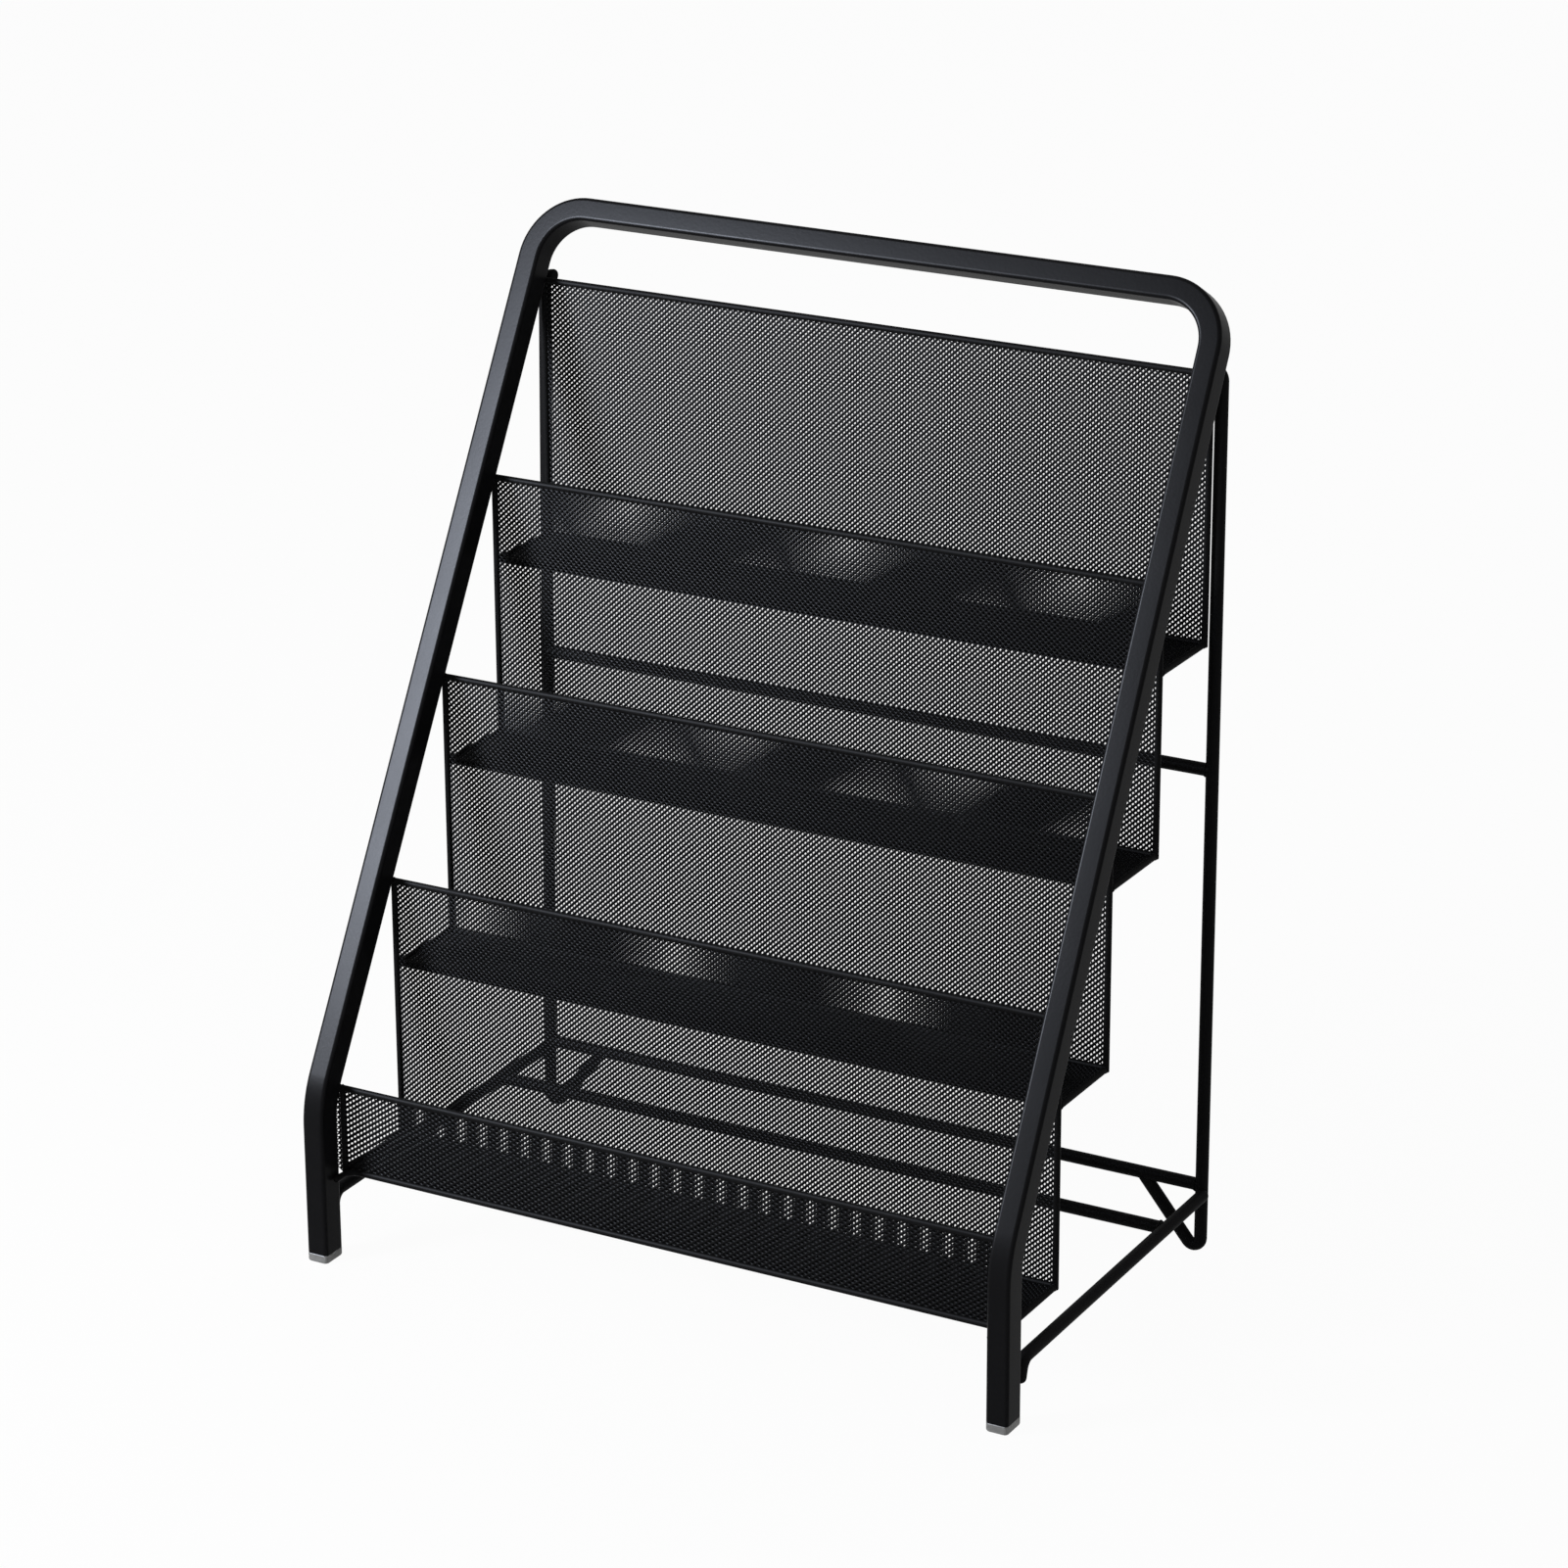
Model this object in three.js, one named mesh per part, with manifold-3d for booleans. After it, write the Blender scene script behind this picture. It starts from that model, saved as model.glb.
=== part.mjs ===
// Floor-standing periodical display rack: a bent box-tube front frame with a handle bar,
// four stepped tiers of expanded-metal mesh behind it, and a round-bar stand that holds it up.
// Millimetres, +Z up, the front of the rack faces -Y, the origin is on the floor under its middle.

import * as THREE from "three";
import { mergeVertices } from "three/addons/utils/BufferGeometryUtils.js";
import Module from "manifold-3d";

// Driving dimensions
const RACK_WIDTH = 600;
const FRAME_TOP = 763.2;
const FRAME_LEAN = THREE.MathUtils.degToRad(29.19);
const FRAME_TAPER = 4.8;
const LEG_BEND_HEIGHT = 134.2;

const TUBE_WIDTH = 18;
const TUBE_DEPTH = 22.5;
const TUBE_WALL = 1;
const TUBE_CORNER = 3;
const LEG_BEND_RADIUS = 60;
const HANDLE_CORNER_RADIUS = 41;

const CAP_HEIGHT = 4;
const CAP_STEM = 14;
const CAP_CORNER = 2.8;

const ROD_RADIUS = 5;
const ROD_WALL = 1;
const WIRE_RADIUS = 2.5;

const RAIL_HEIGHTS = [695.3, 557.2, 418.6, 277.8, 136];
const FLOOR_HEIGHTS = [490.3, 349.8, 209.6, 67.7];
const RAIL_HALF_LENGTH = 290;
const UPRIGHT_X = 282.7;

const MESH_THICKNESS = 0.6;
const MESH_RIM = 3;
const STRAND = 6;
const BOND = 16;
const DIAMOND_LONG = 66;
const DIAMOND_SHORT = 48;

const REAR_LEG_TOP = 697.5;
const REAR_LEG_TOP_X = 287.3;
const REAR_LEG_FLOOR = { x: 292.6, y: 342.2 };
const REAR_LEG_TOP_BEND = 11;
const REAR_LEG_TIP_X = 274.4;
const REAR_LEG_TIP_OFFSET = 1.8;
const FOOT_BEND_RADIUS = 6;
const FOOT_ANGLE = THREE.MathUtils.degToRad(39.5);
const MID_BAR_HEIGHT = 390.7;
const REAR_BAR_HEIGHT = 55.6;

const STAY_X = 295;
const STAY_REAR_END = { y: 339.5, z: 49.6 };
const STAY_BEND = { y: 33, z: 46.5 };
const STAY_BEND_RADIUS = 10;
const STAY_TAB_END = { y: 27.9, z: 29 };
const STAY_BAR_Y = 272.5;

const LIP_WIRE_BEND = 10;
const LIP_WIRE_END_Y = 6;

// Clearances: welded pieces stand this far apart, and rails sit this far off the slanted tubes
const GAP = 0.3;
const RAIL_GAP = 0.9;

const ROUND_SIDES = 12;
const WIRE_SIDES = 8;
const BEND_STEPS = 8;

// Finishes
const POWDER_BLACK = { color: 0x1b1b1d, roughness: 0.5, metalness: 0.3 };
const MESH_BLACK = { color: 0x151516, roughness: 0.55, metalness: 0.35 };
const CAP_GREY = { color: 0xb9b9b6, roughness: 0.6, metalness: 0 };

// Places worked out from the driving dimensions
const lean = Math.tan(FRAME_LEAN);
const tubeRearY = (z) => (z - LEG_BEND_HEIGHT) * lean + TUBE_DEPTH / Math.cos(FRAME_LEAN);
const railY = (z) => tubeRearY(z) + (WIRE_RADIUS + RAIL_GAP) / Math.cos(FRAME_LEAN);

// Rows 0 to 4 are the upright mesh planes from the back of the top tier to the front lip,
// which stands on the floor of the lowest tier
const TIER_COUNT = FLOOR_HEIGHTS.length;
const rows = RAIL_HEIGHTS.map((railZ, row) => ({
  y: railY(railZ), railZ, floorZ: FLOOR_HEIGHTS[Math.min(row, TIER_COUNT - 1)],
}));
const frontRow = rows[TIER_COUNT];

const legTipY = rows[0].y + WIRE_RADIUS + GAP + ROD_RADIUS;
const panelHalfWidth = UPRIGHT_X - WIRE_RADIUS - GAP;
const wireClear = WIRE_RADIUS + GAP;

const SIDES = { left: -1, right: 1 };
const Y_AXIS = new THREE.Vector3(0, 1, 0);

const wasm = await Module();
wasm.setup();

const rack = new THREE.Group();
rack.name = "periodical_display_rack";

function addPiece(name, geometry, finish) {
  const mesh = new THREE.Mesh(geometry, new THREE.MeshStandardMaterial(finish));
  mesh.name = name;
  rack.add(mesh);
  return mesh;
}

// A route of straight stretches and round corners, with a station only where its direction changes
class BentRoute extends THREE.Curve {
  constructor(corners) {
    super();
    this.stations = [];
    const last = corners.length - 1;
    corners.forEach(({ at, radius }, i) => {
      if (i === 0 || i === last) {
        const tangent = corners[Math.max(i, 1)].at.clone().sub(corners[Math.max(i, 1) - 1].at);
        this.stations.push({ point: at.clone(), tangent: tangent.normalize() });
        return;
      }
      const incoming = at.clone().sub(corners[i - 1].at).normalize();
      const outgoing = corners[i + 1].at.clone().sub(at).normalize();
      const turn = incoming.angleTo(outgoing);
      const axis = incoming.clone().cross(outgoing).normalize();
      const start = at.clone().addScaledVector(incoming, -radius * Math.tan(turn / 2));
      const spoke = incoming.clone().cross(axis).normalize().multiplyScalar(radius);
      const centre = start.clone().sub(spoke);
      for (let step = 0; step <= BEND_STEPS; step += 1) {
        const angle = (turn * step) / BEND_STEPS;
        this.stations.push({
          point: spoke.clone().applyAxisAngle(axis, angle).add(centre),
          tangent: incoming.clone().applyAxisAngle(axis, angle),
        });
      }
    });
    this.steps = this.stations.length - 1;
  }

  getPointAt(u, target = new THREE.Vector3()) {
    return target.copy(this.stations[Math.round(u * this.steps)].point);
  }

  getTangentAt(u, target = new THREE.Vector3()) {
    return target.copy(this.stations[Math.round(u * this.steps)].tangent);
  }
}

function sweep(section, corners, curveSegments) {
  const route = new BentRoute(corners);
  return new THREE.ExtrudeGeometry(section, {
    extrudePath: route, steps: route.steps, curveSegments, bevelEnabled: false,
  });
}

function roundedBox(PathClass, spanX, spanY, corner) {
  const x = spanX / 2 - corner;
  const y = spanY / 2 - corner;
  const outline = new PathClass();
  outline.moveTo(x + corner, -y);
  outline.absarc(x, y, corner, 0, Math.PI / 2, false);
  outline.absarc(-x, y, corner, Math.PI / 2, Math.PI, false);
  outline.absarc(-x, -y, corner, Math.PI, 1.5 * Math.PI, false);
  outline.absarc(x, -y, corner, 1.5 * Math.PI, 2 * Math.PI, false);
  return outline;
}

function disc(radius) {
  return new THREE.Shape().absarc(0, 0, radius, 0, 2 * Math.PI, false);
}

function toSolid(geometry) {
  const bare = geometry.clone();
  bare.deleteAttribute("normal");
  bare.deleteAttribute("uv");
  const merged = mergeVertices(bare, 1e-4);
  return new wasm.Manifold(new wasm.Mesh({
    numProp: 3,
    vertProperties: new Float32Array(merged.attributes.position.array),
    triVerts: new Uint32Array(merged.index.array),
  }));
}

function toGeometry(solid) {
  const { vertProperties, triVerts } = solid.getMesh();
  const geometry = new THREE.BufferGeometry();
  geometry.setAttribute("position", new THREE.BufferAttribute(vertProperties, 3));
  geometry.setIndex(new THREE.BufferAttribute(triVerts, 1));
  const flat = geometry.toNonIndexed();
  flat.computeVertexNormals();
  return flat;
}

function cutFrom(geometry, ...tools) {
  return toGeometry(tools.reduce((solid, tool) => solid.subtract(toSolid(tool)), toSolid(geometry)));
}

// A straight round bar between two points, as a geometry in the rack's own frame
function barBetween(start, end, radius, sides) {
  const along = end.clone().sub(start);
  const bar = new THREE.CylinderGeometry(radius, radius, along.length(), sides);
  bar.applyQuaternion(new THREE.Quaternion().setFromUnitVectors(Y_AXIS, along.clone().normalize()));
  const middle = start.clone().lerp(end, 0.5);
  return bar.translate(middle.x, middle.y, middle.z);
}

const point = (x, y, z) => new THREE.Vector3(x, y, z);
const crossBar = (halfLength, y, z, radius, sides) =>
  barBetween(point(-halfLength, y, z), point(halfLength, y, z), radius, sides);

// Front frame: one box tube bent into both legs, the slanted sides and the handle bar;
// its sides draw together a little towards the handle
function frontFrame() {
  const halfWidth = TUBE_WIDTH / 2;
  const halfDepth = TUBE_DEPTH / 2;
  const sideX = RACK_WIDTH / 2 - halfWidth;
  const bend = point(sideX, halfDepth, LEG_BEND_HEIGHT - halfDepth * Math.tan(FRAME_LEAN / 2));
  const topZ = FRAME_TOP - halfWidth * Math.cos(FRAME_LEAN) - halfDepth * Math.sin(FRAME_LEAN);
  const topY = halfDepth + (topZ - bend.z) * lean;
  const leg = [
    { at: point(sideX, halfDepth, CAP_HEIGHT + GAP) },
    { at: bend, radius: LEG_BEND_RADIUS },
    { at: point(sideX - FRAME_TAPER, topY, topZ), radius: HANDLE_CORNER_RADIUS },
  ];
  const mirrored = leg.map(({ at, radius }) => ({ at: point(-at.x, at.y, at.z), radius })).reverse();
  const section = roundedBox(THREE.Shape, TUBE_DEPTH, TUBE_WIDTH, TUBE_CORNER);
  const bore = roundedBox(
    THREE.Path, TUBE_DEPTH - 2 * TUBE_WALL, TUBE_WIDTH - 2 * TUBE_WALL, TUBE_CORNER - TUBE_WALL,
  );
  section.holes.push(bore);
  return sweep(section, [...leg, ...mirrored], 1);
}

// Foot cap: a pad under the leg with a plug that stands inside the tube
function footCap() {
  const padOutline = roundedBox(THREE.Shape, TUBE_WIDTH, TUBE_DEPTH, CAP_CORNER);
  const pad = new THREE.ExtrudeGeometry(padOutline, {
    depth: CAP_HEIGHT, curveSegments: 2, bevelEnabled: false,
  });
  const inset = 2 * (TUBE_WALL + GAP);
  const plugOutline = roundedBox(
    THREE.Shape, TUBE_WIDTH - inset, TUBE_DEPTH - inset, TUBE_CORNER - TUBE_WALL,
  );
  const plug = new THREE.ExtrudeGeometry(plugOutline, {
    depth: CAP_HEIGHT / 2 + CAP_STEM, curveSegments: 2, bevelEnabled: false,
  });
  plug.translate(0, 0, CAP_HEIGHT / 2);
  return toGeometry(toSolid(pad).add(toSolid(plug)));
}

// Expanded-metal sheet in the XY plane: staggered diamond openings, cut off at a plain rim
function meshSheet(width, height) {
  const openW = width - 2 * MESH_RIM;
  const openH = height - 2 * MESH_RIM;
  const columnCount = Math.floor(openW / DIAMOND_LONG);
  const rowSteps = Math.round((2 * openH) / DIAMOND_SHORT);
  const longPitch = openW / columnCount;
  const shortPitch = (2 * openH) / rowSteps;
  const reachX = (longPitch - BOND) / 2;
  const reachY = (shortPitch - STRAND) / 2;
  const diamonds = [];
  for (let row = 0; row <= rowSteps; row += 1) {
    const y = (row * shortPitch - openH) / 2;
    const isShifted = row % 2 === 0;
    for (let column = 0; column < columnCount + isShifted; column += 1) {
      const x = (column + (isShifted ? 0 : 0.5)) * longPitch - openW / 2;
      const diamond = new THREE.Shape();
      diamond.moveTo(x + reachX, y).lineTo(x, y + reachY).lineTo(x - reachX, y).lineTo(x, y - reachY);
      diamonds.push(diamond);
    }
  }
  const depth = 4 * MESH_THICKNESS;
  const prisms = new THREE.ExtrudeGeometry(diamonds, { depth, bevelEnabled: false });
  prisms.translate(0, 0, -depth / 2);
  const inside = new THREE.BoxGeometry(openW, openH, 2 * MESH_THICKNESS);
  const openings = toSolid(prisms).intersect(toSolid(inside));
  const blank = new THREE.BoxGeometry(width, height, MESH_THICKNESS);
  return toGeometry(toSolid(blank).subtract(openings));
}

function uprightSheet(name, y, lowZ, highZ) {
  const piece = addPiece(name, meshSheet(2 * panelHalfWidth, highZ - lowZ), MESH_BLACK);
  piece.rotation.x = Math.PI / 2;
  piece.position.set(0, y, (lowZ + highZ) / 2);
}

function floorSheet(name, z, frontY, backY) {
  const piece = addPiece(name, meshSheet(2 * panelHalfWidth, backY - frontY), MESH_BLACK);
  piece.position.set(0, (frontY + backY) / 2, z);
}

// The wire under the front lip turns forward at both ends, along the inner sides of the legs
function lipFootWire() {
  const endX = RACK_WIDTH / 2 - TUBE_WIDTH - wireClear;
  const { y, floorZ } = frontRow;
  const corners = [
    { at: point(-endX, LIP_WIRE_END_Y, floorZ) },
    { at: point(-endX, y, floorZ), radius: LIP_WIRE_BEND },
    { at: point(endX, y, floorZ), radius: LIP_WIRE_BEND },
    { at: point(endX, LIP_WIRE_END_Y, floorZ) },
  ];
  return sweep(disc(WIRE_RADIUS), corners, WIRE_SIDES / 2);
}

// One tier: its mesh back and floor with the wires that border them
function addTier(index) {
  const tier = index + 1;
  const back = rows[index];
  const front = rows[index + 1];
  const floorZ = back.floorZ;
  const isLowest = tier === TIER_COUNT;
  const frontWireY = front.y + (isLowest ? 0 : MESH_THICKNESS / 2 + wireClear);

  uprightSheet(`back_mesh_${tier}`, back.y, floorZ + wireClear, back.railZ - wireClear);
  floorSheet(`floor_mesh_${tier}`, floorZ, frontWireY + wireClear, back.y - wireClear);

  const rearWire = crossBar(panelHalfWidth, back.y, floorZ, WIRE_RADIUS, WIRE_SIDES);
  addPiece(`floor_rear_wire_${tier}`, rearWire, POWDER_BLACK);
  const frontWire = isLowest
    ? lipFootWire()
    : crossBar(panelHalfWidth, frontWireY, floorZ, WIRE_RADIUS, WIRE_SIDES);
  addPiece(`floor_front_wire_${tier}`, frontWire, POWDER_BLACK);

  for (const [side, sign] of Object.entries(SIDES)) {
    const x = sign * UPRIGHT_X;
    const upright = barBetween(
      point(x, back.y, floorZ - WIRE_RADIUS), point(x, back.y, back.railZ - wireClear),
      WIRE_RADIUS, WIRE_SIDES,
    );
    addPiece(`upright_${tier}_${side}`, upright, POWDER_BLACK);
    const floorWire = barBetween(
      point(x, front.y + wireClear, floorZ), point(x, back.y - wireClear, floorZ),
      WIRE_RADIUS, WIRE_SIDES,
    );
    addPiece(`floor_side_wire_${tier}_${side}`, floorWire, POWDER_BLACK);
  }
}

// Front lip of the lowest tier: a low mesh strip between two short posts
function addFrontLip() {
  const { y, floorZ, railZ } = frontRow;
  uprightSheet("lip_mesh", y, floorZ + wireClear, railZ - wireClear);
  for (const [side, sign] of Object.entries(SIDES)) {
    const x = sign * UPRIGHT_X;
    const post = barBetween(
      point(x, y, floorZ - WIRE_RADIUS), point(x, y, railZ - wireClear), WIRE_RADIUS, WIRE_SIDES,
    );
    addPiece(`lip_post_${side}`, post, POWDER_BLACK);
  }
}

// The rear legs lean: their feet stand wider apart and further forward than their tops
function legPoint(sign, z) {
  const rise = z / REAR_LEG_TOP;
  return point(
    sign * THREE.MathUtils.lerp(REAR_LEG_FLOOR.x, REAR_LEG_TOP_X, rise),
    THREE.MathUtils.lerp(REAR_LEG_FLOOR.y, legTipY + REAR_LEG_TIP_OFFSET, rise),
    z,
  );
}

// Rear leg: a round tube turned inward at the top, with a V foot that climbs back to the rear bar
function rearLeg(sign, rearBar) {
  const axisHeight = ROD_RADIUS * Math.cos(Math.PI / ROUND_SIDES);
  const foot = axisHeight + FOOT_BEND_RADIUS - FOOT_BEND_RADIUS / Math.tan(FOOT_ANGLE / 2);
  const climbEnd = legPoint(sign, REAR_BAR_HEIGHT);
  climbEnd.x = legPoint(sign, foot).x - sign * (REAR_BAR_HEIGHT - foot) * Math.tan(FOOT_ANGLE);
  const corners = (tipX) => [
    { at: point(sign * tipX, legTipY, REAR_LEG_TOP) },
    { at: legPoint(sign, REAR_LEG_TOP), radius: REAR_LEG_TOP_BEND },
    { at: legPoint(sign, foot), radius: FOOT_BEND_RADIUS },
    { at: climbEnd },
  ];
  const outside = sweep(disc(ROD_RADIUS), corners(REAR_LEG_TIP_X), ROUND_SIDES / 2);
  const bore = sweep(disc(ROD_RADIUS - ROD_WALL), corners(REAR_LEG_TIP_X + ROD_WALL), ROUND_SIDES / 2);
  return cutFrom(outside, bore, rearBar);
}

function addStand() {
  const clearRadius = ROD_RADIUS + GAP;
  const barReach = RACK_WIDTH / 2;
  const rearBarEnd = legPoint(1, REAR_BAR_HEIGHT);
  const rearBarReach = rearBarEnd.x - 2 * ROD_RADIUS;
  const rearBarRoom = crossBar(rearBarReach, rearBarEnd.y, REAR_BAR_HEIGHT, clearRadius, 2 * ROUND_SIDES);
  const roomRound = (start, end) => barBetween(start, end, clearRadius, 2 * ROUND_SIDES);

  // Cross bars are tubes whose ends are hollowed out to sit against the round bars they meet
  const fittedBar = (halfLength, y, z, ...rooms) => cutFrom(
    crossBar(halfLength, y, z, ROD_RADIUS, ROUND_SIDES),
    crossBar(barReach, y, z, ROD_RADIUS - ROD_WALL, ROUND_SIDES),
    ...rooms,
  );
  const legRooms = [];
  const stayRooms = [];
  for (const [side, sign] of Object.entries(SIDES)) {
    addPiece(`rear_leg_${side}`, rearLeg(sign, rearBarRoom), POWDER_BLACK);
    const legRoom = roomRound(legPoint(sign, 0), legPoint(sign, REAR_LEG_TOP));
    const stayEnd = point(sign * STAY_X, STAY_REAR_END.y, STAY_REAR_END.z);
    const stayBend = point(sign * STAY_X, STAY_BEND.y, STAY_BEND.z);
    const stay = sweep(disc(ROD_RADIUS), [
      { at: stayEnd },
      { at: stayBend, radius: STAY_BEND_RADIUS },
      { at: point(sign * STAY_X, STAY_TAB_END.y, STAY_TAB_END.z) },
    ], ROUND_SIDES / 2);
    addPiece(`stay_${side}`, cutFrom(stay, legRoom), POWDER_BLACK);
    legRooms.push(legRoom);
    stayRooms.push(roomRound(stayEnd, stayBend));
  }
  const midBarEnd = legPoint(1, MID_BAR_HEIGHT);
  const midBar = fittedBar(midBarEnd.x, midBarEnd.y, MID_BAR_HEIGHT, ...legRooms);
  const rearBar = fittedBar(rearBarEnd.x, rearBarEnd.y, REAR_BAR_HEIGHT, ...legRooms);
  addPiece("mid_crossbar", midBar, POWDER_BLACK);
  addPiece("rear_crossbar", rearBar, POWDER_BLACK);
  const stayBarZ = THREE.MathUtils.mapLinear(
    STAY_BAR_Y, STAY_BEND.y, STAY_REAR_END.y, STAY_BEND.z, STAY_REAR_END.z,
  );
  addPiece("stay_crossbar", fittedBar(STAY_X, STAY_BAR_Y, stayBarZ, ...stayRooms), POWDER_BLACK);
}

addPiece("front_frame", frontFrame(), POWDER_BLACK);
for (const [side, sign] of Object.entries(SIDES)) {
  const cap = addPiece(`foot_cap_${side}`, footCap(), CAP_GREY);
  cap.position.set((sign * (RACK_WIDTH - TUBE_WIDTH)) / 2, TUBE_DEPTH / 2, 0);
}
rows.forEach(({ y, railZ }, row) => {
  const name = row === 0 ? "top_rail" : `lip_rail_${row}`;
  addPiece(name, crossBar(RAIL_HALF_LENGTH, y, railZ, WIRE_RADIUS, WIRE_SIDES), POWDER_BLACK);
});
for (let index = 0; index < TIER_COUNT; index += 1) {
  addTier(index);
}
addFrontLip();
addStand();

// The rack stands on the floor with its footprint centred on the origin
const extent = new THREE.Box3().setFromObject(rack, true);
rack.position.set(0, -(extent.min.y + extent.max.y) / 2, -extent.min.z);

export default rack;
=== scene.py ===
import math

import bmesh
import bpy
from mathutils import Matrix, Vector


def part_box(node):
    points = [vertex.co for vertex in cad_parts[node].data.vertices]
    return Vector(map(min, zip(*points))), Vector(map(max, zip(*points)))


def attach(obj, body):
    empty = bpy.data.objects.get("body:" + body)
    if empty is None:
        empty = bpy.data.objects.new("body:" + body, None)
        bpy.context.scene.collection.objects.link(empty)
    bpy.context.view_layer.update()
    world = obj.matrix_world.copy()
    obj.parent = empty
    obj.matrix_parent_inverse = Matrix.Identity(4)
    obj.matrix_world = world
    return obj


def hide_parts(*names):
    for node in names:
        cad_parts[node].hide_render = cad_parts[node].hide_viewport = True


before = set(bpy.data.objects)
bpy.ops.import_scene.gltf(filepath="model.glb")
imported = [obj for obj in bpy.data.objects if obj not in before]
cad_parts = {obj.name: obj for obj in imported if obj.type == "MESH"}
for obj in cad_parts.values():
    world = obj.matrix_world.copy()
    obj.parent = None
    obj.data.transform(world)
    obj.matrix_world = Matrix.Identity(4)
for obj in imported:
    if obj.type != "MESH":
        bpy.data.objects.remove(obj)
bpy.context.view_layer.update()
MM = 0.001


# Front frame
# One box-section steel tube, bent into two short legs, two leaning sides and a bare handle bar.
# It is coated in satin black powder, baked on, with a faint orange-peel skin.

class Signal:
    """An output socket that takes part in Python sums: each sum adds a Math node to its tree."""

    def __init__(self, socket):
        self.socket = socket
        self.tree = socket.id_data

    def add(self, kind, settings=None, inputs=None, output=0):
        """Any other node: its settings first, then the values or links of its sockets."""
        node = self.tree.nodes.new(kind)
        for name, value in (settings or {}).items():
            setattr(node, name, value)
        for key, value in (inputs or {}).items():
            if isinstance(value, Signal):
                self.tree.links.new(value.socket, node.inputs[key])
            else:
                node.inputs[key].default_value = value
        return Signal(node.outputs[output])

    def math(self, operation, first, second=0.0):
        return self.add("ShaderNodeMath", {"operation": operation}, {0: first, 1: second})

    def __add__(self, other):
        return self.math("ADD", self, other)

    def __sub__(self, other):
        return self.math("SUBTRACT", self, other)

    def __rsub__(self, other):
        return self.math("SUBTRACT", other, self)

    def __mul__(self, other):
        return self.math("MULTIPLY", self, other)

    def __truediv__(self, other):
        return self.math("DIVIDE", self, other)

    def __gt__(self, other):
        return self.math("GREATER_THAN", self, other)

    def __lt__(self, other):
        return self.math("LESS_THAN", self, other)

    __radd__ = __add__
    __rmul__ = __mul__


def finish_start(name):
    """A new material: its shader, and the Object coordinates that its patterns read."""
    material = bpy.data.materials.new(name)
    material.use_nodes = True
    tree = material.node_tree
    place = Signal(tree.nodes.new("ShaderNodeTexCoord").outputs["Object"])
    return material, tree.nodes["Principled BSDF"], place


def feed(shader, name, signal):
    shader.id_data.links.new(signal.socket, shader.inputs[name])


def blend(place, amount, first, second):
    return place.add("ShaderNodeMix", {"data_type": "RGBA"}, {
        0: amount, 6: (*first, 1), 7: (*second, 1)}, output=2)


def noise(place, per_metre, detail):
    """Soft noise from 0 to 1, with so many patches to the metre."""
    return place.add("ShaderNodeTexNoise", inputs={
        "Vector": place, "Scale": per_metre, "Detail": detail})


CLOUDS, SPARKLES, PEEL_SPOTS = 9.0, 1500.0, 420.0  # patches to the metre
PEEL_DEPTH = 0.4 * MM


def powder_coat(name, deep, worn, gloss, peel, shine):
    """Baked powder: two blacks in soft clouds, fine sparkle in the gloss, orange-peel skin."""
    material, shader, place = finish_start(name)
    cloud = noise(place, CLOUDS, 3.0)
    grain = noise(place, SPARKLES, 1.0)
    skin = noise(place, PEEL_SPOTS, 2.0)
    feed(shader, "Base Color", blend(place, cloud, deep, worn))
    feed(shader, "Roughness", gloss + 0.08 * (cloud - 0.5) + 0.10 * (grain - 0.5))
    feed(shader, "Normal", place.add("ShaderNodeBump", inputs={
        "Strength": peel, "Distance": PEEL_DEPTH, "Height": skin + 0.4 * grain}))
    shader.inputs["Specular IOR Level"].default_value = shine
    return material


FRAME_COAT = powder_coat(
    "satin_black_powder", deep=(0.0060, 0.0060, 0.0066), worn=(0.0090, 0.0090, 0.0098),
    gloss=0.36, peel=0.10, shine=0.02)


def open_tree(name, sockets):
    """An empty geometry tree with named inputs: (tree, its input signals)."""
    tree = bpy.data.node_groups.new(name, "GeometryNodeTree")
    tree.interface.new_socket("Geometry", in_out="INPUT", socket_type="NodeSocketGeometry")
    for label, kind in {**sockets, "Finish": "Material"}.items():
        tree.interface.new_socket(label, in_out="INPUT", socket_type=f"NodeSocket{kind}")
    tree.interface.new_socket("Geometry", in_out="OUTPUT", socket_type="NodeSocketGeometry")
    ends = tree.nodes.new("NodeGroupInput")
    return tree, {socket.name: Signal(socket) for socket in ends.outputs if socket.name}


def close_tree(tree, shape, finish):
    shape = shape.add("GeometryNodeRealizeInstances", inputs={0: shape})
    shape = shape.add("GeometryNodeSetMaterial", inputs={"Geometry": shape, "Material": finish})
    tree.links.new(shape.socket, tree.nodes.new("NodeGroupOutput").inputs[0])
    return tree


def grow(name, tree, values, base):
    """Runs a tree on a base mesh and keeps the result as a plain mesh object at the origin."""
    seed = bpy.data.objects.new(f"{name}_seed", base)
    bpy.context.scene.collection.objects.link(seed)
    modifier = seed.modifiers.new("grow", "NODES")
    modifier.node_group = tree
    for item in tree.interface.items_tree:
        if item.in_out == "INPUT" and item.name in values:
            modifier[item.identifier] = values[item.name]
    depsgraph = bpy.context.evaluated_depsgraph_get()
    result = bpy.data.meshes.new_from_object(seed.evaluated_get(depsgraph))
    seed.modifiers.remove(modifier)
    bpy.data.objects.remove(seed)
    bpy.data.meshes.remove(base)
    result.name = name
    piece = bpy.data.objects.new(name, result)
    bpy.context.scene.collection.objects.link(piece)
    return piece


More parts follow.
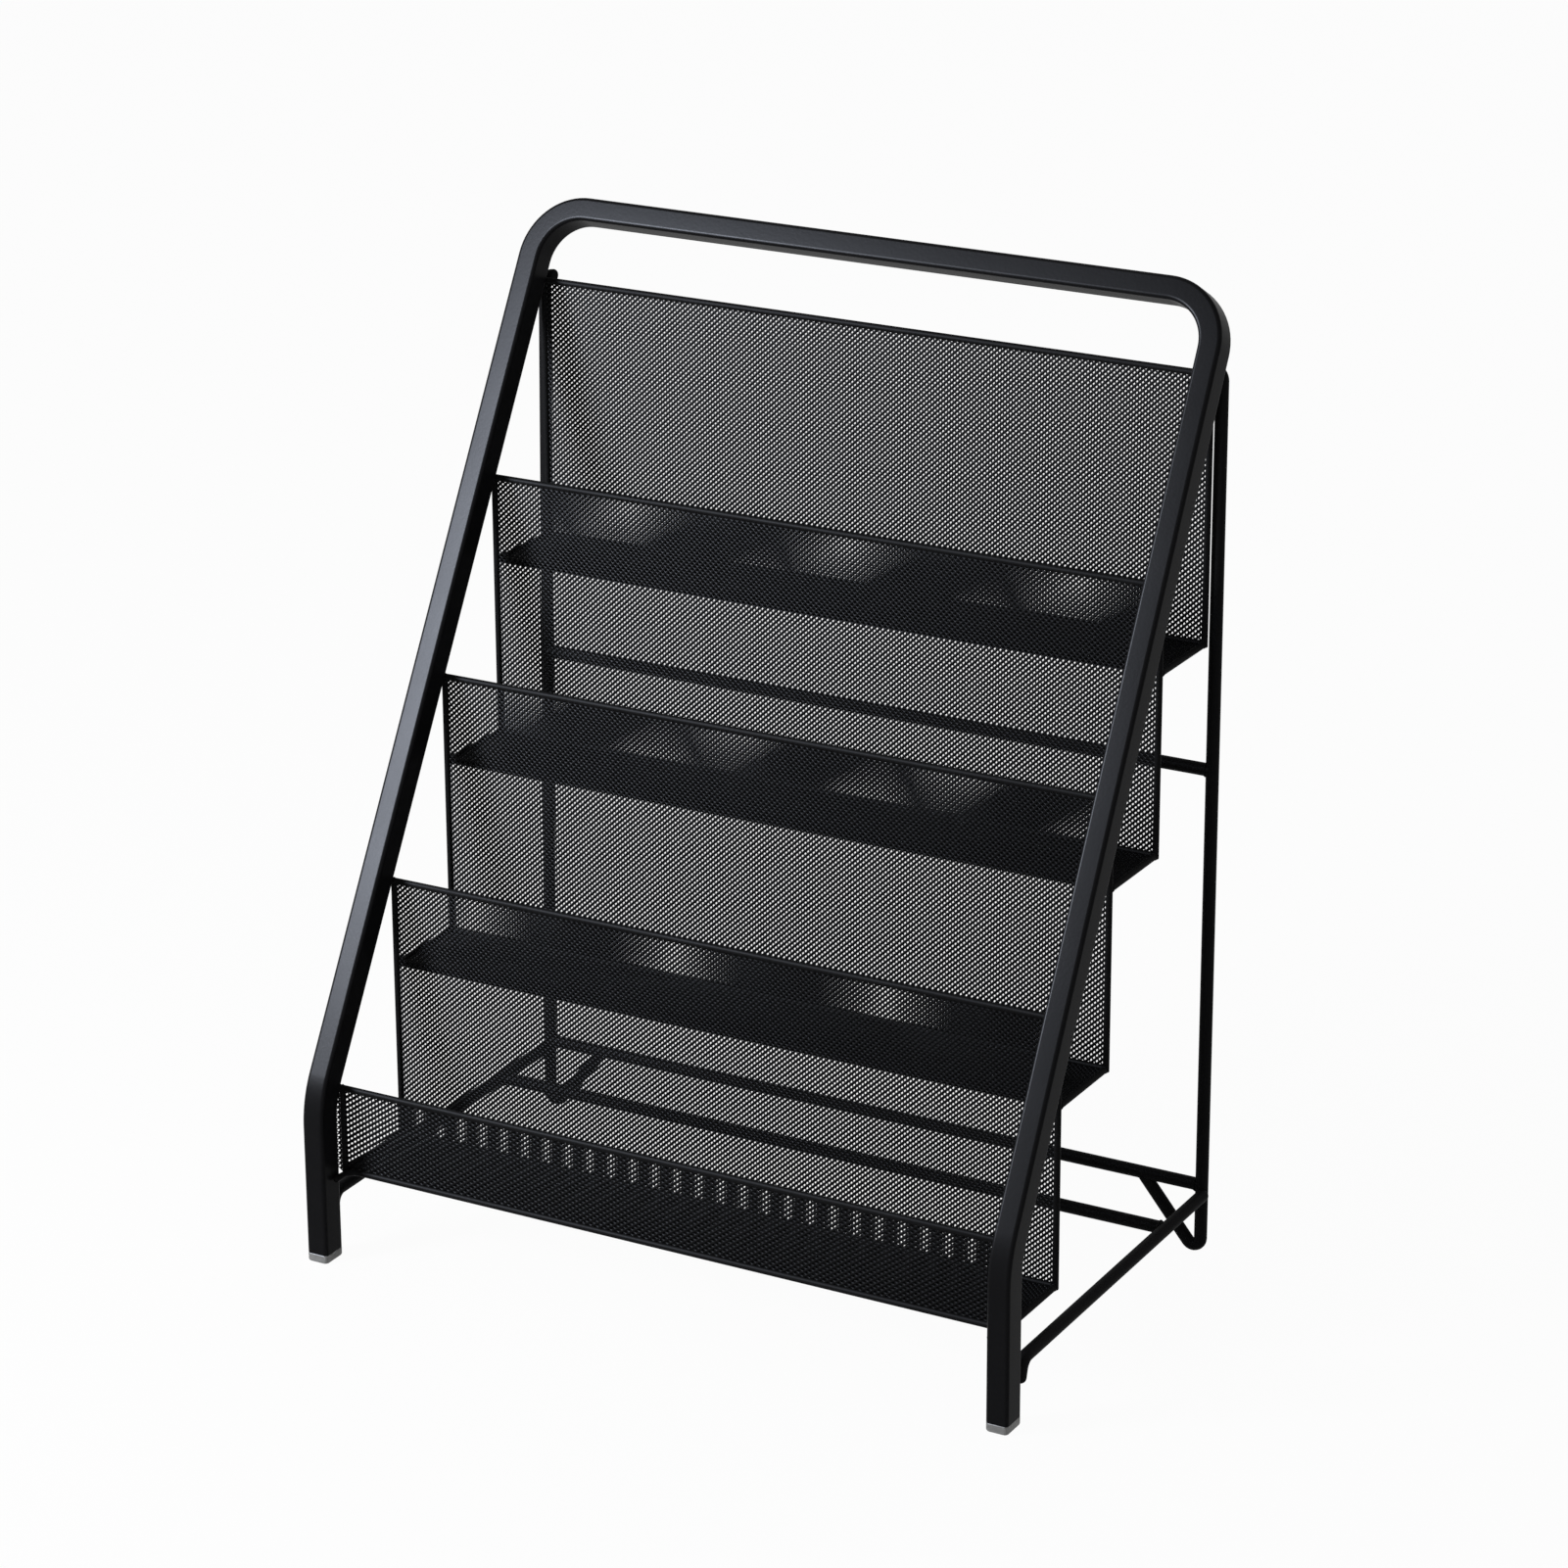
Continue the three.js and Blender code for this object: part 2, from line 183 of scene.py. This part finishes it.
def bar_tree():
    """A bar swept along a route of straight runs, rounded at each corner by its own bend."""
    tree, given = open_tree("bent_bar", {
        "Width": "Float", "Depth": "Float", "Corner": "Float", "Is round": "Bool", "Sides": "Int",
        "Corner steps": "Int", "Bend steps": "Int"})
    route = given["Geometry"].add("GeometryNodeMeshToCurve", inputs={0: given["Geometry"]})
    bend = route.add("GeometryNodeInputNamedAttribute", {"data_type": "FLOAT"}, {"Name": "bend"})
    route = route.add("GeometryNodeFilletCurve", {"mode": "POLY"}, {
        "Curve": route, "Count": given["Bend steps"], "Radius": bend, "Limit Radius": True})
    box = route.add("GeometryNodeCurvePrimitiveQuadrilateral", inputs={
        "Width": given["Width"], "Height": given["Depth"]})
    box = route.add("GeometryNodeFilletCurve", {"mode": "POLY"}, {
        "Curve": box, "Count": given["Corner steps"], "Radius": given["Corner"],
        "Limit Radius": True})
    disc = route.add("GeometryNodeCurvePrimitiveCircle", inputs={
        "Resolution": given["Sides"], "Radius": given["Width"] * 0.5})
    section = route.add("GeometryNodeSwitch", {"input_type": "GEOMETRY"}, {
        "Switch": given["Is round"], "False": box, "True": disc})
    bar = route.add("GeometryNodeCurveToMesh", inputs={
        "Curve": route, "Profile Curve": section, "Fill Caps": True})
    return close_tree(tree, bar, given["Finish"])


BAR = bar_tree()
BAR_CREASE = math.radians(35)
RIM_ANGLE = math.radians(60)
RIM_STEPS = 4
CORNER_STEPS = 6


def bent_bar(name, route, finish, width, depth=None, corner=None,
             sides=20, bend_steps=12, ease=0.5 * MM):
    """A bar along route, a list of (place, bend radius): round, or a box with rounded corners."""
    base = bpy.data.meshes.new(f"{name}_route")
    base.from_pydata([place for place, _ in route], [(i, i + 1) for i in range(len(route) - 1)], [])
    bends = base.attributes.new("bend", "FLOAT", "POINT")
    bends.data.foreach_set("value", [bend for _, bend in route])
    piece = grow(name, BAR, {
        "Width": width, "Depth": depth or width, "Corner": corner or 0.0,
        "Is round": corner is None, "Sides": sides, "Corner steps": CORNER_STEPS,
        "Bend steps": bend_steps, "Finish": finish}, base)
    ease_ends(piece.data, ease)
    shade_round(piece, BAR_CREASE)
    piece.modifiers.new("flat_faces", "WEIGHTED_NORMAL").keep_sharp = True
    return piece


def ease_ends(mesh, ease):
    """Rounds off the rims of a bar's cut ends."""
    shell = bmesh.new()
    shell.from_mesh(mesh)
    rims = [edge for edge in shell.edges if edge.calc_face_angle(0.0) > RIM_ANGLE]
    bmesh.ops.bevel(
        shell, geom=rims, offset=ease, segments=RIM_STEPS, profile=0.5, affect="EDGES")
    shell.to_mesh(mesh)
    shell.free()


def shade_round(piece, crease):
    """Rounds the shading, except over edges sharper than crease."""
    piece.data.shade_smooth()
    piece.data.set_sharp_from_angle(angle=crease)


def stand_for(piece, *nodes, slot="powder_black"):
    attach(piece, "root")
    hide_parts(*nodes)


def extent(node):
    return [Vector(corner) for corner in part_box(node)]


def middle(node):
    low, high = extent(node)
    return (low + high) / 2


TUBE_WIDTH = 18 * MM
TUBE_DEPTH = 22.5 * MM
TUBE_CORNER = 3 * MM
LEAN = math.radians(29.19)
TAPER = 4.8 * MM
LEG_BEND_HEIGHT = 134.2 * MM
LEG_BEND = 75 * MM
HANDLE_BEND = 41 * MM
CAP_HEIGHT = 7 * MM

frame_low, frame_high = extent("front_frame")
side_x = frame_high.x - TUBE_WIDTH / 2
leg_y = frame_low.y + TUBE_DEPTH / 2
knee_z = LEG_BEND_HEIGHT - TUBE_DEPTH / 2 * math.tan(LEAN / 2)
handle_z = frame_high.z - TUBE_CORNER - (
    (TUBE_WIDTH / 2 - TUBE_CORNER) * math.cos(LEAN)
    + (TUBE_DEPTH / 2 - TUBE_CORNER) * math.sin(LEAN))
handle_y = leg_y + (handle_z - knee_z) * math.tan(LEAN)
right_side = [
    ((side_x, leg_y, CAP_HEIGHT), 0.0),
    ((side_x, leg_y, knee_z), LEG_BEND),
    ((side_x - TAPER, handle_y, handle_z), HANDLE_BEND),
]
left_side = [((-x, y, z), bend) for (x, y, z), bend in reversed(right_side)]
front_frame = bent_bar(
    "frame_tube", right_side + left_side, FRAME_COAT, TUBE_WIDTH, TUBE_DEPTH, TUBE_CORNER,
    bend_steps=18)
stand_for(front_frame, "front_frame")


# Foot caps
# Pale grey moulded plastic pads, pushed into the open ends of the front legs.
# Their lower edges are rounded so that they slide on a floor.

CAP_CLOUDS, CAP_SPECKS = 60.0, 2200.0  # patches to the metre
CAP_SPECK_DEPTH = 0.2 * MM


def plastic(name, pale, dull, shine):
    """Moulded plastic: slightly uneven tone, dull, with a faint spark-eroded skin."""
    material, shader, place = finish_start(name)
    cloud = noise(place, CAP_CLOUDS, 2.0)
    skin = noise(place, CAP_SPECKS, 1.0)
    feed(shader, "Base Color", blend(place, cloud, pale, dull))
    feed(shader, "Roughness", 0.5 + 0.15 * (skin - 0.5))
    feed(shader, "Normal", place.add("ShaderNodeBump", inputs={
        "Strength": 0.08, "Distance": CAP_SPECK_DEPTH, "Height": skin}))
    shader.inputs["Specular IOR Level"].default_value = shine
    return material


CAP_PLASTIC = plastic(
    "pale_grey_plastic", pale=(0.26, 0.26, 0.254), dull=(0.20, 0.20, 0.196), shine=0.2)
CAP_CORNER = 2.8 * MM
CAP_PLUG_INSET = 1.3 * MM
CAP_CREASE = math.radians(40)
SIDES = {"left": -1, "right": 1}

for side in SIDES:
    node = f"foot_cap_{side}"
    low, high = extent(node)
    spot = middle(node)
    rings = [  # how far in from the tube's outside, and how high
        (1.5 * MM, 0.0), (0.7 * MM, 0.35 * MM), (0.2 * MM, 1.1 * MM), (0.0, 2.0 * MM),
        (0.0, CAP_HEIGHT - 0.3 * MM), (0.3 * MM, CAP_HEIGHT), (CAP_PLUG_INSET, CAP_HEIGHT),
        (CAP_PLUG_INSET, high.z - 1.5 * MM), (CAP_PLUG_INSET + 1.0 * MM, high.z),
    ]
    points = []
    for inset, z in rings:
        reach_x = TUBE_WIDTH / 2 - inset - CAP_CORNER
        reach_y = TUBE_DEPTH / 2 - inset - CAP_CORNER
        for quarter, (out_x, out_y) in enumerate(((1, 1), (-1, 1), (-1, -1), (1, -1))):
            for step in range(CORNER_STEPS + 1):
                turn = math.radians(90 * (quarter + step / CORNER_STEPS))
                points.append((
                    spot.x + out_x * reach_x + CAP_CORNER * math.cos(turn),
                    spot.y + out_y * reach_y + CAP_CORNER * math.sin(turn), low.z + z))
    around = 4 * (CORNER_STEPS + 1)
    faces = [tuple(reversed(range(around)))]
    for ring in range(len(rings) - 1):
        for k in range(around):
            a, b = ring * around + k, ring * around + (k + 1) % around
            faces.append((a, b, b + around, a + around))
    faces.append(tuple(range((len(rings) - 1) * around, len(rings) * around)))
    mesh = bpy.data.meshes.new(f"cap_{side}")
    mesh.from_pydata(points, [], faces)
    mesh.materials.append(CAP_PLASTIC)
    cap = bpy.data.objects.new(f"cap_{side}", mesh)
    bpy.context.scene.collection.objects.link(cap)
    shade_round(cap, CAP_CREASE)
    stand_for(cap, node, slot="cap_grey")


# Rails
# Straight steel wires welded across the back of the slanted tubes.
# They carry the top edges of the mesh, one above the highest tier and one on each lip.

BAR_COAT = powder_coat(
    "deep_black_powder", deep=(0.0070, 0.0070, 0.0073), worn=(0.0100, 0.0100, 0.0105),
    gloss=0.50, peel=0.10, shine=0.012)
WIRE = 5 * MM
WIRE_SIDES = 16
WELD_AT_TUBE = (283 * MM, 289 * MM)
TIERS = range(1, 5)
X, Y, Z = range(3)
welds = []


def straight_bar(name, node, axis, width, reach=0.0, back_reach=None):
    """A straight round bar along one axis of a node's box, run on into the bars it is welded to."""
    low, high = extent(node)
    along = Vector([float(i == axis) for i in range(3)])
    ends = []
    back_reach = reach if back_reach is None else back_reach
    for corner, run_on in ((low, -back_reach), (high, reach)):
        place = middle(node)
        place[axis] = corner[axis]
        if run_on:
            welds.append((place.copy(), along, width / 2))
        ends.append((place + run_on * along, 0.0))
    stand_for(bent_bar(name, ends, BAR_COAT, width, sides=WIRE_SIDES), node)


for node in ["top_rail"] + [f"lip_rail_{tier}" for tier in TIERS]:
    straight_bar(f"{node}_wire", node, X, WIRE)
    for x in WELD_AT_TUBE:
        for sign in SIDES.values():
            place = middle(node)
            place.x = sign * x
            welds.append((place, Vector((1, 0, 0)), WIRE / 2))


# Tier borders
# Lengths of the same wire, welded into a frame round each mesh back and each mesh floor.
# The wire under the lowest lip turns forward at both ends, along the inner sides of the legs.

WELD_IN = 1.2 * MM

for side in SIDES:
    for tier in TIERS:
        straight_bar(
            f"back_edge_{tier}_{side}", f"upright_{tier}_{side}", Z, WIRE, WELD_IN, 0.0)
        straight_bar(
            f"floor_edge_{tier}_{side}", f"floor_side_wire_{tier}_{side}", Y, WIRE, WELD_IN)
    straight_bar(f"lip_edge_{side}", f"lip_post_{side}", Z, WIRE, WELD_IN, 0.0)
for tier in TIERS:
    straight_bar(f"floor_back_{tier}", f"floor_rear_wire_{tier}", X, WIRE, WELD_IN)
for tier in TIERS[:-1]:
    straight_bar(f"floor_front_{tier}", f"floor_front_wire_{tier}", X, WIRE, WELD_IN)

LIP_WIRE_BEND = 10 * MM
LIP_WIRE_SHORT = 6 * MM
low, high = extent("floor_front_wire_4")
wire_x = high.x - WIRE / 2
wire_y = high.y - WIRE / 2
front_y = low.y + LIP_WIRE_SHORT
wire_z = (low.z + high.z) / 2
lip_foot = bent_bar("lip_foot", [
    ((-wire_x, front_y, wire_z), 0.0), ((-wire_x, wire_y, wire_z), LIP_WIRE_BEND),
    ((wire_x, wire_y, wire_z), LIP_WIRE_BEND), ((wire_x, front_y, wire_z), 0.0)],
    BAR_COAT, WIRE, sides=WIRE_SIDES)
stand_for(lip_foot, "floor_front_wire_4")


# Expanded mesh
# Thin steel sheet, slit and stretched into a net of diamonds whose strands twist out of the plane.
# Each sheet is welded by its edges to the wires round it and coated with them.

MESH_COAT = powder_coat(
    "mesh_black_powder", deep=(0.0040, 0.0040, 0.0044), worn=(0.0065, 0.0065, 0.0070),
    gloss=0.45, peel=0.06, shine=0.03)
MERGE_WITHIN = 0.02 * MM


def expanded_tree():
    """Staggered two-sided cells with diamond holes, merged into one sheet with a closed rim."""
    tree, given = open_tree("expanded_sheet", {
        "Width": "Float", "Height": "Float", "Columns": "Int", "Rows": "Int", "Open": "Float",
        "Twist": "Float", "Ridge": "Float", "Turn": "Vector", "Place": "Vector"})
    long_pitch = given["Width"] / given["Columns"]
    short_pitch = 2.0 * given["Height"] / (given["Rows"] + 1.0)

    outline = long_pitch.add("GeometryNodeMeshCircle", inputs={"Vertices": 4, "Radius": 1.0})
    ring = outline.add("GeometryNodeExtrudeMesh", {"mode": "EDGES"}, {
        "Mesh": outline, "Offset Scale": 0.0}).socket.node
    corner = outline.add("ShaderNodeSeparateXYZ", inputs={
        0: outline.add("GeometryNodeInputPosition")}).socket.node
    corner_x, corner_y = Signal(corner.outputs[0]), Signal(corner.outputs[1])
    is_hole = Signal(ring.outputs["Top"])
    reach = 0.5 - 0.5 * is_hole * (1.0 - given["Open"])
    cell = outline.add("GeometryNodeJoinGeometry")
    for ridge in (given["Ridge"], -1.0 * given["Ridge"]):
        skin = outline.add("GeometryNodeSetPosition", inputs={
            "Geometry": Signal(ring.outputs["Mesh"]),
            "Position": outline.add("ShaderNodeCombineXYZ", inputs={
                0: corner_x * long_pitch * reach, 1: corner_y * short_pitch * reach,
                2: ridge - is_hole * (ridge + corner_y * given["Twist"])})})
        if ridge is given["Ridge"]:
            skin = outline.add("GeometryNodeFlipFaces", inputs={0: skin})
        tree.links.new(skin.socket, cell.socket.node.inputs[0])

    pair_size = 2.0 * given["Columns"] - 1.0
    index = cell.add("GeometryNodeInputIndex")
    pair = cell.math("FLOOR", (index + 0.5) / pair_size)
    rest = index - pair * pair_size
    is_full_row = rest > given["Columns"] - 1.5
    step = rest + 1.0 - is_full_row * (given["Columns"] - 0.5)
    across = step * long_pitch - given["Width"] * 0.5
    up = (2.0 * pair + is_full_row + 1.0) * short_pitch * 0.5 - given["Height"] * 0.5
    grid = cell.add("GeometryNodePoints", inputs={
        "Count": 0.5 * (given["Rows"] + 1.0) * pair_size - given["Columns"],
        "Position": cell.add("ShaderNodeCombineXYZ", inputs={0: across, 1: up})})
    sheet = cell.add("GeometryNodeInstanceOnPoints", inputs={"Points": grid, "Instance": cell})
    sheet = cell.add("GeometryNodeRealizeInstances", inputs={0: sheet})
    sheet = cell.add("GeometryNodeMergeByDistance", inputs={
        "Geometry": sheet, "Distance": MERGE_WITHIN})

    height = Signal(cell.add("ShaderNodeSeparateXYZ", inputs={
        0: cell.add("GeometryNodeInputPosition")}).socket.node.outputs[2])
    is_rim = (cell.add("GeometryNodeInputMeshEdgeNeighbors") < 1.5) * (height > 0.0)
    sheet = cell.add("GeometryNodeExtrudeMesh", {"mode": "EDGES"}, {
        "Mesh": sheet, "Selection": is_rim, "Offset Scale": 1.0,
        "Offset": cell.add("ShaderNodeCombineXYZ", inputs={2: -2.0 * given["Ridge"]})})
    sheet = cell.add("GeometryNodeMergeByDistance", inputs={
        "Geometry": sheet, "Distance": MERGE_WITHIN})
    sheet = cell.add("GeometryNodeTransform", inputs={
        "Geometry": sheet, "Rotation": given["Turn"], "Translation": given["Place"]})
    return close_tree(tree, sheet, given["Finish"])


EXPANDED = expanded_tree()
UPRIGHT_TURN = (math.pi / 2, 0.0, 0.0)
FLAT = (0.0, 0.0, 0.0)
LONG_PITCH = 4.65 * MM
LIP_LONG_PITCH = 6.0 * MM
SHORT_PITCH = 4.3 * MM
MESH_OPEN = 0.34
MESH_TWIST = 0.7 * MM
MESH_RIDGE = 0.35 * MM
MESH_OVERLAP = 4.7 * MM
LIP_OVERLAP = 11 * MM


def expanded_sheet(node, is_upright, long_pitch=LONG_PITCH, side_overlap=MESH_OVERLAP):
    """A sheet over a mesh node's box, with its cut edges run into the border wires."""
    low, high = extent(node)
    rise = Z if is_upright else Y
    width = high.x - low.x + 2 * side_overlap
    height = high[rise] - low[rise] + 2 * MESH_OVERLAP
    piece = grow(f"{node}_net", EXPANDED, {
        "Width": width, "Height": height, "Columns": round(width / long_pitch),
        "Rows": 2 * round(height / SHORT_PITCH) - 1, "Open": MESH_OPEN, "Twist": MESH_TWIST,
        "Ridge": MESH_RIDGE, "Turn": UPRIGHT_TURN if is_upright else FLAT,
        "Place": middle(node), "Finish": MESH_COAT}, bpy.data.meshes.new(f"{node}_base"))
    stand_for(piece, node, slot="mesh_black")


for tier in TIERS:
    expanded_sheet(f"back_mesh_{tier}", True)
    expanded_sheet(f"floor_mesh_{tier}", False)
expanded_sheet("lip_mesh", True, LIP_LONG_PITCH, LIP_OVERLAP)


# Stand
# Round steel tube bent cold: two rear legs with V feet, two stays and three cross bars.
# The bars butt against each other and are welded all round, then coated with the frame.

ROD = 10 * MM
LEG_TOP_X = 287.3 * MM
LEG_TIP_X = 277 * MM
LEG_TIP_SETBACK = 1.8 * MM
LEG_TOP_BEND = 9 * MM
LEG_ROUNDED = 2 * MM
FOOT_BEND = 6 * MM
FOOT_ANGLE = math.radians(39.5)
STAY_BEND = 10 * MM
STAY_KNEE = (33 * MM, 46.5 * MM)
STAY_TAB_END = (27.9 * MM, 29 * MM)
STAY_ROUNDED = 4.2 * MM
BAR_SADDLE = 3.2 * MM

rear_bar = middle("rear_crossbar")
for side, sign in SIDES.items():
    node = f"rear_leg_{side}"
    low, high = extent(node)
    top = Vector((LEG_TOP_X, high.y - ROD / 2, high.z - ROD / 2))
    floor = Vector((max(abs(low.x), abs(high.x)) - ROD / 2, low.y + ROD / 2, 0.0))
    tip = Vector((LEG_TIP_X, top.y - LEG_TIP_SETBACK, top.z))
    foot_z = ROD / 2 + FOOT_BEND - FOOT_BEND / math.tan(FOOT_ANGLE / 2)
    foot = floor.lerp(top, foot_z / top.z)
    climb = floor.lerp(top, rear_bar.z / top.z)
    climb.x = foot.x - (rear_bar.z - foot.z) * math.tan(FOOT_ANGLE)
    corners = ((tip, 0.0), (top, LEG_TOP_BEND), (foot, FOOT_BEND), (climb, 0.0))
    route = [((sign * place.x, place.y, place.z), bend) for place, bend in corners]
    stand_for(bent_bar(f"leg_{side}", route, BAR_COAT, ROD, ease=LEG_ROUNDED), node)

    node = f"stay_{side}"
    low, high = extent(node)
    x = middle(node).x
    stay = bent_bar(f"stay_bar_{side}", [
        ((x, high.y + STAY_ROUNDED / 2, high.z - ROD / 2), 0.0),
        ((x, frame_low.y + STAY_KNEE[0], STAY_KNEE[1]), STAY_BEND),
        ((x, frame_low.y + STAY_TAB_END[0], STAY_TAB_END[1]), 0.0)],
        BAR_COAT, ROD, ease=STAY_ROUNDED)
    stand_for(stay, node)

for node in ("mid_crossbar", "rear_crossbar", "stay_crossbar"):
    straight_bar(f"{node}_bar", node, X, ROD)
    for sign in SIDES.values():
        place = middle(node)
        place.x = sign * (extent(node)[1].x - BAR_SADDLE)
        welds.append((place, Vector((1, 0, 0)), ROD / 2))


# Welds
# A bead of weld metal round each joint of the wires and bars.
# Left as laid, rippled by the torch, and coated over with the bars.

BEAD = 0.18  # half the bead's thickness, as a share of the bar's radius
BEAD_RIPPLE = 0.4 * MM
BEAD_LUMPS = 700.0  # lumps to the metre
BEAD_STEPS, BEAD_SIDES = 20, 6
BEAD_CREASE = math.radians(80)


def weld_tree():
    """A lumpy ring on each point of the base, round that point's axis."""
    tree, given = open_tree("weld_beads", {"Bead": "Float", "Ripple": "Float"})
    ring = given["Bead"].add("GeometryNodeCurvePrimitiveCircle", inputs={
        "Resolution": BEAD_STEPS, "Radius": 1.0})
    section = ring.add("GeometryNodeCurvePrimitiveCircle", inputs={
        "Resolution": BEAD_SIDES, "Radius": given["Bead"]})
    ring = ring.add("GeometryNodeCurveToMesh", inputs={"Curve": ring, "Profile Curve": section})
    axis = ring.add(
        "GeometryNodeInputNamedAttribute", {"data_type": "FLOAT_VECTOR"}, {"Name": "axis"})
    radius = ring.add(
        "GeometryNodeInputNamedAttribute", {"data_type": "FLOAT"}, {"Name": "radius"})
    beads = ring.add("GeometryNodeInstanceOnPoints", inputs={
        "Points": given["Geometry"], "Instance": ring, "Scale": radius,
        "Rotation": ring.add("FunctionNodeAlignRotationToVector", {"axis": "Z"}, {"Vector": axis})})
    beads = ring.add("GeometryNodeRealizeInstances", inputs={0: beads})
    lumps = ring.add("ShaderNodeTexNoise", inputs={"Scale": BEAD_LUMPS, "Detail": 1.0})
    beads = ring.add("GeometryNodeSetPosition", inputs={
        "Geometry": beads, "Offset": ring.add("ShaderNodeVectorMath", {"operation": "SCALE"}, {
            0: ring.add("GeometryNodeInputNormal"), "Scale": (lumps - 0.5) * given["Ripple"]})})
    return close_tree(tree, beads, given["Finish"])


base = bpy.data.meshes.new("weld_places")
base.from_pydata([place for place, _, _ in welds], [], [])
axes = base.attributes.new("axis", "FLOAT_VECTOR", "POINT")
axes.data.foreach_set("vector", [part for _, axis, _ in welds for part in axis])
radii = base.attributes.new("radius", "FLOAT", "POINT")
radii.data.foreach_set("value", [radius for _, _, radius in welds])
beads = grow("weld_beads", weld_tree(), {
    "Bead": BEAD, "Ripple": BEAD_RIPPLE, "Finish": BAR_COAT}, base)
shade_round(beads, BEAD_CREASE)
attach(beads, "root")


# Studio
# A white floor and background, seen from the photograph's viewing angle.
# A soft lamp stands high on the left; a strip beside it only gives the sheen along the left tube.

def seen_directly(tree):
    """1 for rays from the camera, from a reflection or through glass, else 0."""
    path = tree.nodes.new("ShaderNodeLightPath")
    ray, glossy, through = (
        Signal(path.outputs[f"Is {kind} Ray"]) for kind in ("Camera", "Glossy", "Transmission"))
    return ray.math("MAXIMUM", ray.math("MAXIMUM", ray, glossy), through)


FLOOR_REACH = 12.0
FLOOR_GLOW = 0.96
SKY_FILL = 0.35

corners = [(x * FLOOR_REACH, y * FLOOR_REACH, 0) for x, y in ((-1, -1), (1, -1), (1, 1), (-1, 1))]
mesh = bpy.data.meshes.new("studio_floor")
mesh.from_pydata(corners, [], [(0, 1, 2, 3)])
floor = bpy.data.objects.new("studio_floor", mesh)
bpy.context.scene.collection.objects.link(floor)
white, shader, place = finish_start("studio_white")
shader.inputs["Base Color"].default_value = (0.8, 0.8, 0.8, 1)
shader.inputs["Roughness"].default_value = 0.9
shader.inputs["Specular IOR Level"].default_value = 0.0
glow = place.add("ShaderNodeEmission", inputs={"Color": (1, 1, 1, 1), "Strength": 1.0})
mixed = place.add("ShaderNodeMixShader", inputs={
    0: FLOOR_GLOW * seen_directly(white.node_tree), 1: Signal(shader.outputs[0]), 2: glow})
surface = white.node_tree.nodes["Material Output"].inputs["Surface"]
white.node_tree.links.new(mixed.socket, surface)
mesh.materials.append(white)

world = bpy.data.worlds.new("studio_world")
bpy.context.scene.world = world
world.use_nodes = True
sky = world.node_tree.nodes["Background"]
sky.inputs["Color"].default_value = (1, 1, 1, 1)
feed(sky, "Strength", SKY_FILL + (1.0 - SKY_FILL) * seen_directly(world.node_tree))


def soft_lamp(name, place, aim, size, power, colour):
    lamp = bpy.data.lights.new(name, "AREA")
    lamp.shape = "RECTANGLE"
    lamp.size, lamp.size_y = size
    lamp.energy = power
    lamp.color = colour
    holder = bpy.data.objects.new(name, lamp)
    holder.location = place
    holder.rotation_euler = (Vector(aim) - Vector(place)).to_track_quat("-Z", "Y").to_euler()
    bpy.context.scene.collection.objects.link(holder)
    return holder


soft_lamp(
    "key_left", place=(-1.30, -1.55, 1.08), aim=(-0.25, -0.05, 0.30), size=(0.45, 0.70),
    power=30.0, colour=(0.95, 0.96, 1.0))
strip = soft_lamp(
    "strip_left", place=(-0.84, -0.885, 1.07), aim=(-0.29, -0.02, 0.42), size=(0.28, 0.70),
    power=265.0, colour=(0.80, 0.86, 1.0))
strip.visible_diffuse = False

CAMERA_PLACE = Vector((1.737405, -3.062111, 1.689705))
CAMERA_AZIMUTH = math.radians(29.333)
CAMERA_ELEVATION = math.radians(20.377)
CAMERA_ROLL = -0.005
FOCAL_PIXELS = 5166.9
IMAGE_PIXELS = 1601

lens = bpy.data.cameras.new("photo_camera")
lens.sensor_width = 36.0
lens.lens = FOCAL_PIXELS * lens.sensor_width / IMAGE_PIXELS
lens.clip_end = 60.0
camera = bpy.data.objects.new("photo_camera", lens)
bpy.context.scene.collection.objects.link(camera)
right = Vector((math.cos(CAMERA_AZIMUTH), math.sin(CAMERA_AZIMUTH), 0))
ahead = Vector((
    -math.sin(CAMERA_AZIMUTH) * math.cos(CAMERA_ELEVATION),
    math.cos(CAMERA_AZIMUTH) * math.cos(CAMERA_ELEVATION), -math.sin(CAMERA_ELEVATION)))
above = right.cross(ahead)
cos_roll, sin_roll = math.cos(CAMERA_ROLL), math.sin(CAMERA_ROLL)
rolled_right = cos_roll * right + sin_roll * above
rolled_up = cos_roll * above - sin_roll * right
turned = Matrix((rolled_right, rolled_up, -ahead)).transposed().to_4x4()
camera.matrix_world = Matrix.Translation(CAMERA_PLACE) @ turned
bpy.context.scene.camera = camera
bpy.context.scene.view_settings.view_transform = "Standard"
